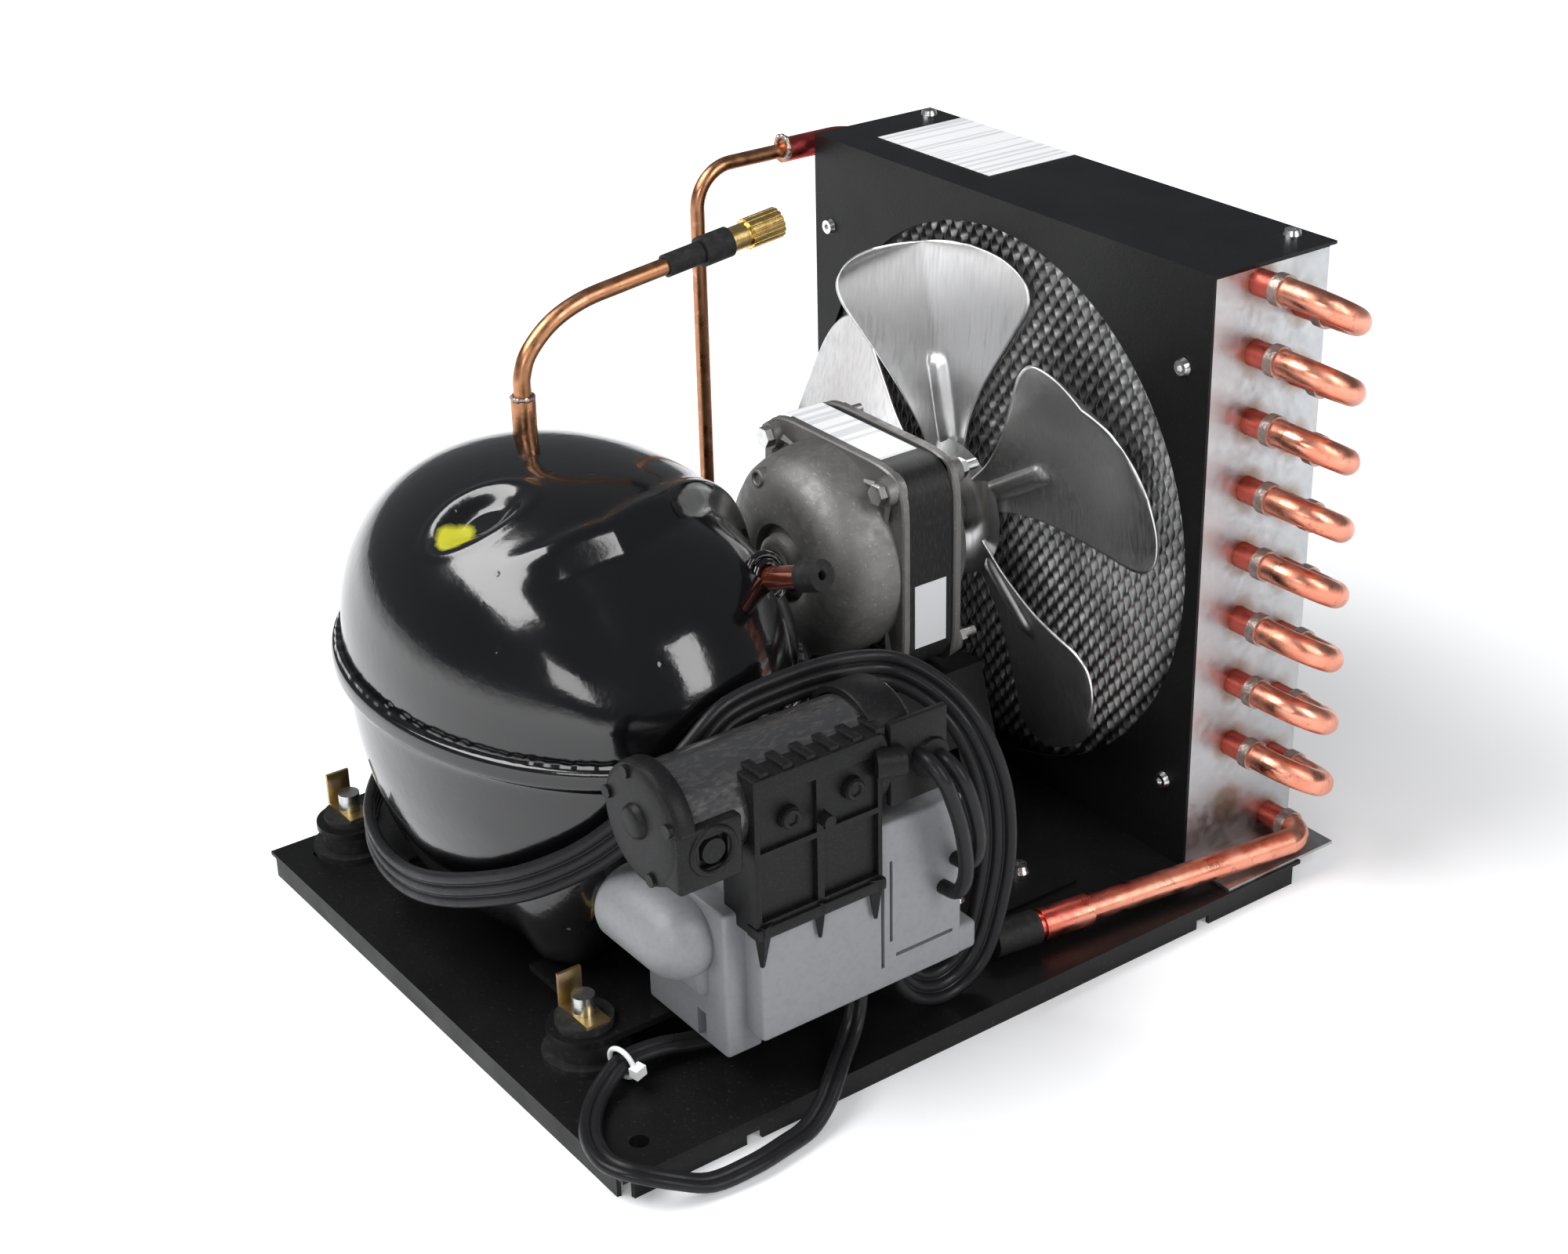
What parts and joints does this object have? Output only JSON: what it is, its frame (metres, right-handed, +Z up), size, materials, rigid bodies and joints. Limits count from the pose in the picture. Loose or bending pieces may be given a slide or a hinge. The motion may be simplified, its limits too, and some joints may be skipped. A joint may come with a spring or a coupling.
{
  "type": "air-cooled condensing unit",
  "caption": "Hermetic compressor, finned condenser coil in a black shroud and axial fan on one base pan, with start gear and capped refrigerant lines.",
  "frame": {"origin": "centre of the base pan in plan, at the underside that the unit stands on", "axes": "+Z up; +Y from the compressor end to the condenser end, along the air flow; +X across it, towards the outlet line"},
  "size_m": [0.2822, 0.3259, 0.2404],
  "materials": {
    "pan_paint": "satin black paint",
    "shell_paint": "gloss black paint",
    "foot_steel": "black paint",
    "rubber": "black rubber",
    "zinc": "zinc plate",
    "yellow_zinc": "yellow passivated zinc",
    "laminations": "stacked electrical sheet",
    "winding": "enamelled copper wire",
    "pump_iron": "machined cast iron",
    "rotor_metal": "cast aluminium cage",
    "pump_steel": "ground steel",
    "head_metal": "cast aluminium",
    "muffler_plastic": "moulded plastic",
    "copper": "copper tube, heat tinted",
    "braze": "brazing alloy",
    "valve_brass": "turned brass",
    "fin_aluminium": "thin aluminium sheet",
    "galvanised": "galvanised sheet",
    "shroud_paint": "satin black paint",
    "bell_metal": "sand-like cast aluminium",
    "core_paint": "black varnished laminations",
    "bush_bronze": "sintered bronze",
    "blade_aluminium": "brushed aluminium",
    "hub_metal": "turned aluminium",
    "cover_plastic": "grained grey plastic",
    "relay_plastic": "black moulded plastic",
    "capacitor_case": "dark gloss case",
    "carrier_plastic": "charcoal plastic",
    "lead_jacket": "black cable jacket",
    "tie_nylon": "white nylon"
  },
  "bodies": {
    "chassis": {"base_plate": "pan_paint", "compressor_lower_shell": "shell_paint", "compressor_upper_shell": "shell_paint", "foot_plates": "foot_steel", "foot_grommets": "rubber", "foot_studs": "zinc", "foot_clips": "yellow_zinc", "stator_core": "laminations", "stator_windings": "winding", "cylinder_block": "pump_iron", "valve_plate": "pump_steel", "cylinder_head": "head_metal", "suction_muffler": "muffler_plastic", "suspension_springs": "pump_steel", "hermetic_terminal": "pump_steel", "suction_stub": "copper", "service_line": "copper", "service_sleeves": "rubber", "access_valve_body": "valve_brass", "discharge_line": "copper", "condenser_outlet_line": "copper", "condenser_tubes": "copper", "condenser_fins": "fin_aluminium", "left_end_plate": "galvanised", "right_end_plate": "galvanised", "return_bends": "copper", "braze_rings": "braze", "shroud": "shroud_paint", "shroud_screws": "zinc", "motor_rear_bell": "bell_metal", "motor_front_bell": "bell_metal", "motor_core": "core_paint", "motor_coil": "winding", "motor_bushes": "bush_bronze", "motor_through_bolts": "zinc", "motor_nuts": "zinc", "motor_bracket": "shroud_paint", "bracket_screws": "zinc", "terminal_cover": "cover_plastic", "start_relay": "relay_plastic", "overload_protector": "relay_plastic", "start_capacitor": "capacitor_case", "capacitor_carrier": "carrier_plastic", "fan_lead": "lead_jacket", "jumper_lead": "lead_jacket", "capacitor_leads": "lead_jacket", "cable_tie": "tie_nylon"},
    "fan_rotor": {"motor_rotor": "rotor_metal", "motor_shaft": "pump_steel", "fan_blades": "blade_aluminium", "fan_hub": "hub_metal"},
    "crank": {"compressor_rotor": "rotor_metal", "crankshaft": "pump_iron"},
    "rod": {"connecting_rod": "pump_iron"},
    "piston_group": {"piston": "pump_iron", "wrist_pin": "pump_steel"},
    "valve_cap": {"access_valve_cap": "valve_brass"},
    "valve_core": {"access_valve_core": "valve_brass"},
    "outlet_cap_body": {"outlet_cap": "rubber"},
    "suction_cap_body": {"suction_cap": "rubber"}
  },
  "joints": [
    {"name": "fan_spin", "type": "hinge", "parent": "chassis", "child": "fan_rotor", "pos_m": [-0.0135, 0.0943, 0.1214], "axis": [0, 1, 0], "continuous": true},
    {"name": "crank_turn", "type": "hinge", "parent": "chassis", "child": "crank", "pos_m": [-0.024, -0.072, 0.11], "axis": [0, 0, 1], "range_deg": [-30, 30]},
    {"name": "rod_swing", "type": "hinge", "parent": "crank", "child": "rod", "pos_m": [-0.024, -0.066, 0.127], "axis": [0, 0, 1], "range_deg": [-32, 32]},
    {"name": "piston_slide", "type": "slide", "parent": "chassis", "child": "piston_group", "axis": [1, 0, 0], "range_m": [-0.0033, 0.0033]},
    {"name": "valve_cap_off", "type": "slide", "parent": "chassis", "child": "valve_cap", "axis": [0, 0.9925, 0.1219], "range_m": [0, 0.015]},
    {"name": "valve_core_push", "type": "slide", "parent": "chassis", "child": "valve_core", "axis": [0, -0.9925, -0.1219], "range_m": [0, 0.0015], "stiffness_N_per_m": 300, "springref_m": -0.0005},
    {"name": "outlet_cap_off", "type": "slide", "parent": "chassis", "child": "outlet_cap_body", "axis": [-0.1379, -0.9904, 0], "range_m": [0, 0.014]},
    {"name": "suction_cap_off", "type": "slide", "parent": "chassis", "child": "suction_cap_body", "axis": [0.9254, 0.1632, 0.342], "range_m": [0, 0.014]}
  ],
  "couplings": [
    {"joint": "rod_swing", "follows": "crank_turn", "ratio": -1},
    {"joint": "piston_slide", "follows": "crank_turn", "m_per_rad": -0.006}
  ]
}
